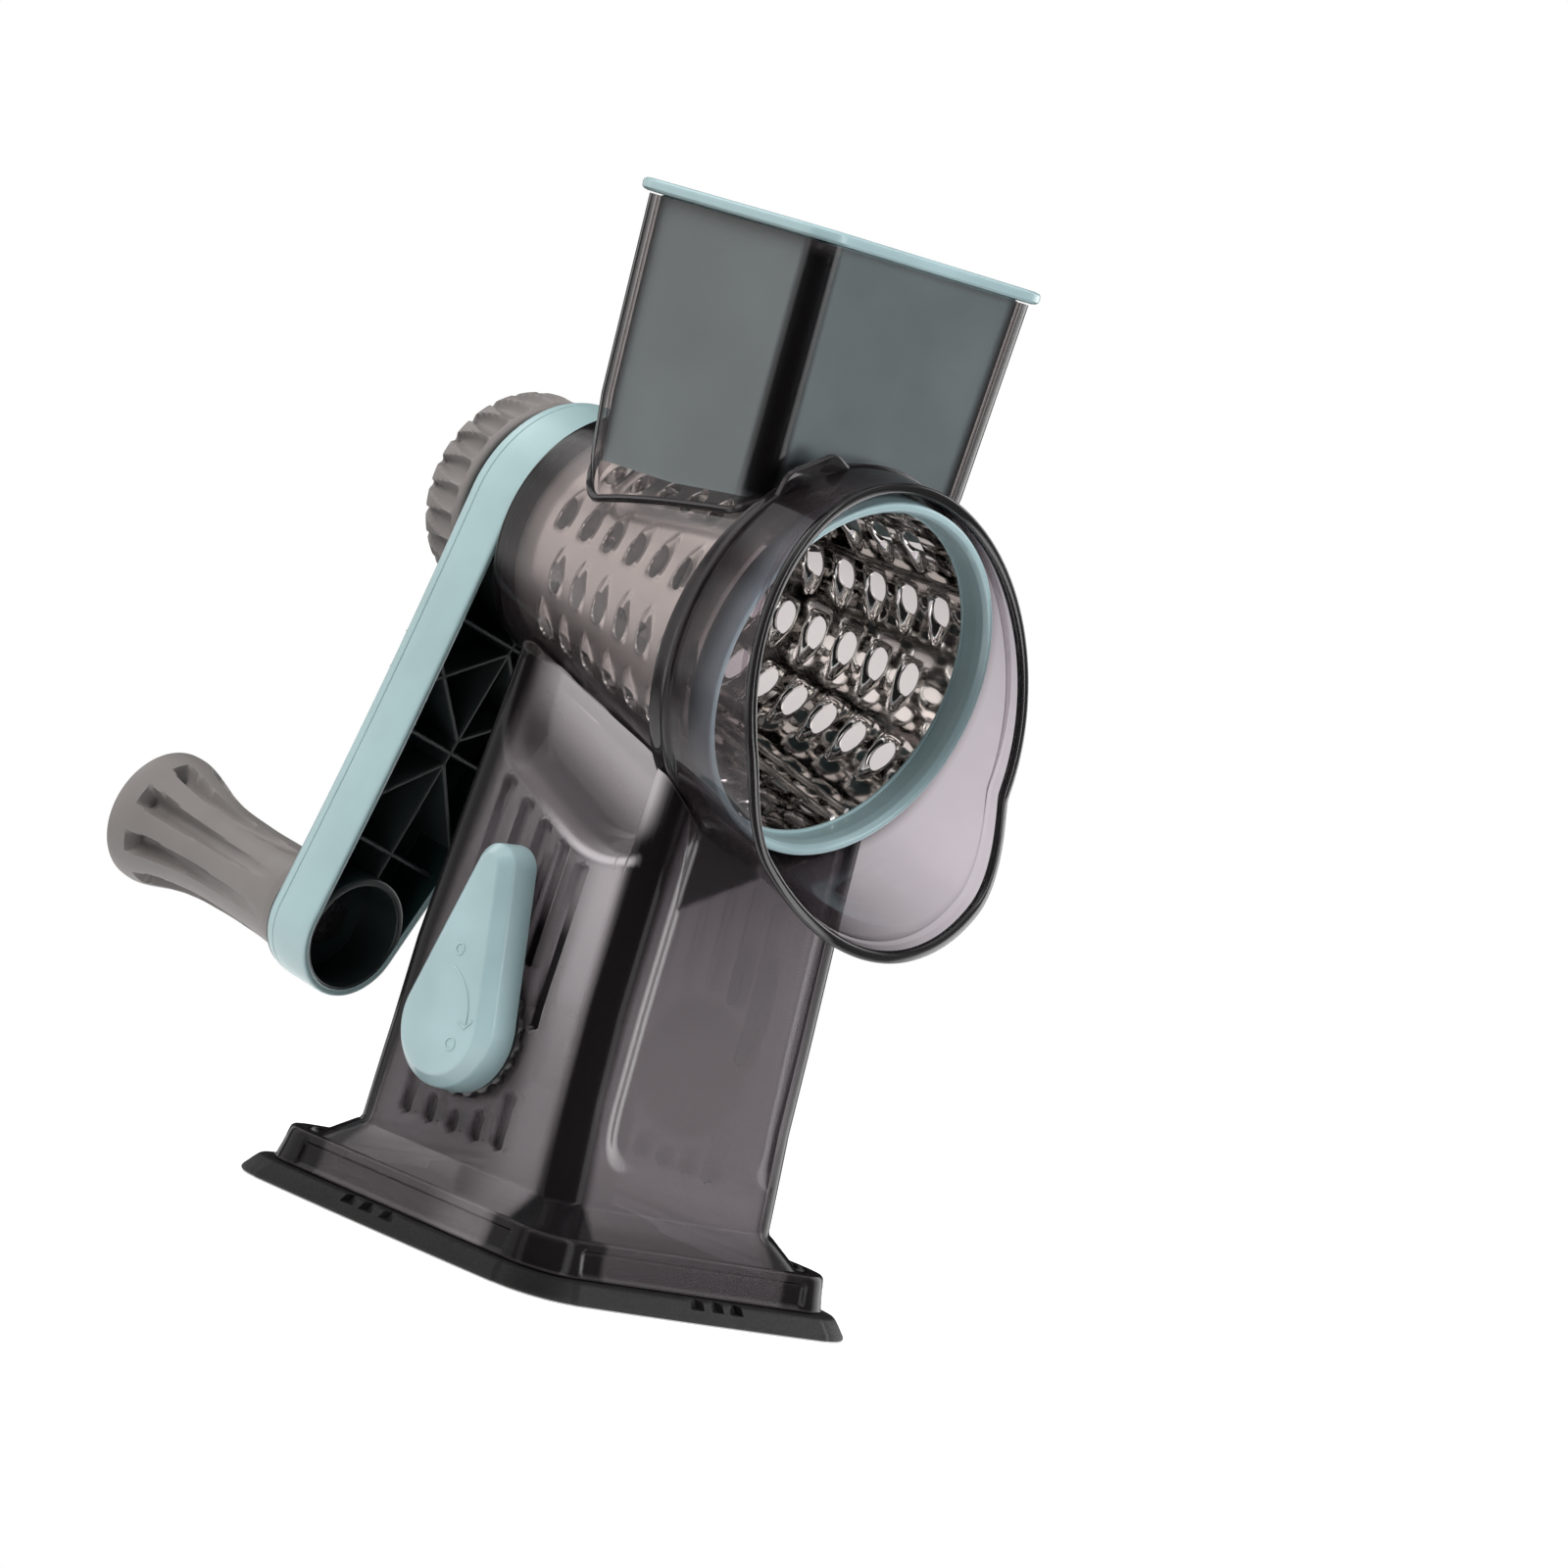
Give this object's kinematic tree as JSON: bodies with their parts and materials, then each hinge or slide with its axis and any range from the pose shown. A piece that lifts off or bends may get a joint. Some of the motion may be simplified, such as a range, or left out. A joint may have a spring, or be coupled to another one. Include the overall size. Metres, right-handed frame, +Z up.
{
  "type": "rotary cheese grater",
  "caption": "Hand-cranked rotary drum grater: clear smoky stand and hopper with pusher, perforated steel drum, crank with turning grip, and a lever-locked suction foot.",
  "frame": {"origin": "middle of the suction foot's flat underside, which lies on the table", "axes": "+Z up, drum mouth towards -Y, crank towards +Y, suction lever on the -X side"},
  "size_m": [0.1344, 0.2561, 0.2915],
  "materials": {
    "smoky_plastic": "clear smoky grey, polished",
    "teal_plastic": "pale grey-green, satin",
    "grey_plastic": "warm grey, matte",
    "black_rubber": "matte",
    "inner_plastic": "dark grey, matte",
    "chrome_steel": "polished sheet",
    "hardware_steel": "plain zinc"
  },
  "bodies": {
    "base": {"housing": "smoky_plastic", "mouth_shield": "smoky_plastic", "stand": "smoky_plastic", "suction_pad": "black_rubber", "base_plate": "inner_plastic", "base_screw_1": "hardware_steel", "base_screw_2": "hardware_steel", "base_screw_3": "hardware_steel", "base_screw_4": "hardware_steel", "shaft_bracket": "inner_plastic", "detent_ring": "inner_plastic"},
    "crank": {"drum_shell": "chrome_steel", "drum_rim": "teal_plastic", "drum_back_plate": "chrome_steel", "drum_rivet_1": "hardware_steel", "drum_rivet_2": "hardware_steel", "drum_rivet_3": "hardware_steel", "drum_rivet_4": "hardware_steel", "drum_hub": "teal_plastic", "crank_arm": "teal_plastic", "grip_axle": "hardware_steel", "grip_washer": "hardware_steel", "grip_axle_nut": "hardware_steel"},
    "knob": {"crank_knob": "grey_plastic", "knob_stud": "hardware_steel", "knob_washer": "hardware_steel"},
    "grip": {"grip": "grey_plastic", "grip_cap": "grey_plastic"},
    "pusher": {"pusher": "teal_plastic"},
    "lever": {"suction_lever": "teal_plastic", "cam_shaft": "hardware_steel", "shaft_clip": "hardware_steel"},
    "plunger": {"plunger": "inner_plastic", "suction_stem": "inner_plastic"}
  },
  "joints": [
    {"name": "crank_spin", "type": "hinge", "parent": "base", "child": "crank", "pos_m": [0, 0, 0.1836], "axis": [0, 0.9916, 0.1291], "continuous": true},
    {"name": "knob_turn", "type": "hinge", "parent": "crank", "child": "knob", "pos_m": [0, 0.08131, 0.19419], "axis": [0, 0.9916, 0.1291], "range_deg": [0, 90]},
    {"name": "grip_spin", "type": "hinge", "parent": "crank", "child": "grip", "pos_m": [-0.0283, 0.09706, 0.06867], "axis": [0, 0.9916, 0.1291], "continuous": true},
    {"name": "pusher_slide", "type": "slide", "parent": "base", "child": "pusher", "axis": [0, 0, 1], "range_m": [0, 0.075]},
    {"name": "lever_turn", "type": "hinge", "parent": "base", "child": "lever", "pos_m": [0, 0.0055, 0.0575], "axis": [1, 0, 0], "range_deg": [0, 90]},
    {"name": "suction_lift", "type": "slide", "parent": "base", "child": "plunger", "axis": [0, 0, 1], "range_m": [0, 0.003]}
  ],
  "couplings": [
    {"joint": "lever_turn", "follows": "suction_lift", "rad_per_m": 523.59}
  ]
}
